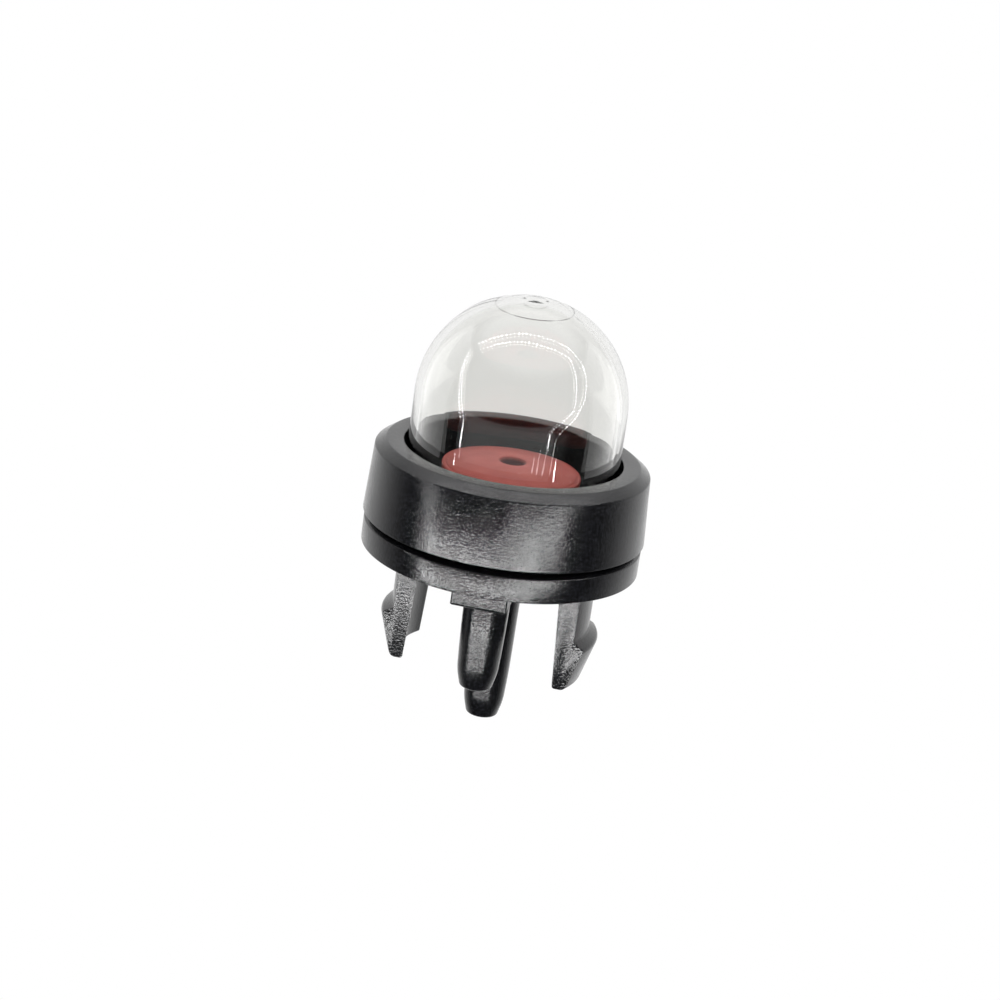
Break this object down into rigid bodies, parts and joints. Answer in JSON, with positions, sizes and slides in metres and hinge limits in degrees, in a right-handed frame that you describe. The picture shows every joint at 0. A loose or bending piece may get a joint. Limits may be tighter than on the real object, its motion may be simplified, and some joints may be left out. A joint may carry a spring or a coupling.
{
  "type": "primer bulb",
  "caption": "Snap-in fuel primer bulb: clear squeeze dome in a black ring on a round base with two snap clips and a short and a long hose nozzle.",
  "frame": {"origin": "centre of the flange's underside, on the face that sits on the panel", "axes": "+Z out of the panel along the bulb's axis, +X towards one clip, -Y towards the short nozzle"},
  "size_m": [0.022, 0.022, 0.0354],
  "materials": {
    "black_plastic": "black moulded nylon, fine spark-eroded grain",
    "clear_polyurethane": "clear soft polyurethane, glossy",
    "brown_rubber": "matt red-brown moulded rubber"
  },
  "bodies": {
    "root": {"base_body": "black_plastic", "retaining_ring": "black_plastic", "clear_bulb": "clear_polyurethane", "check_valve": "brown_rubber"}
  },
  "joints": []
}
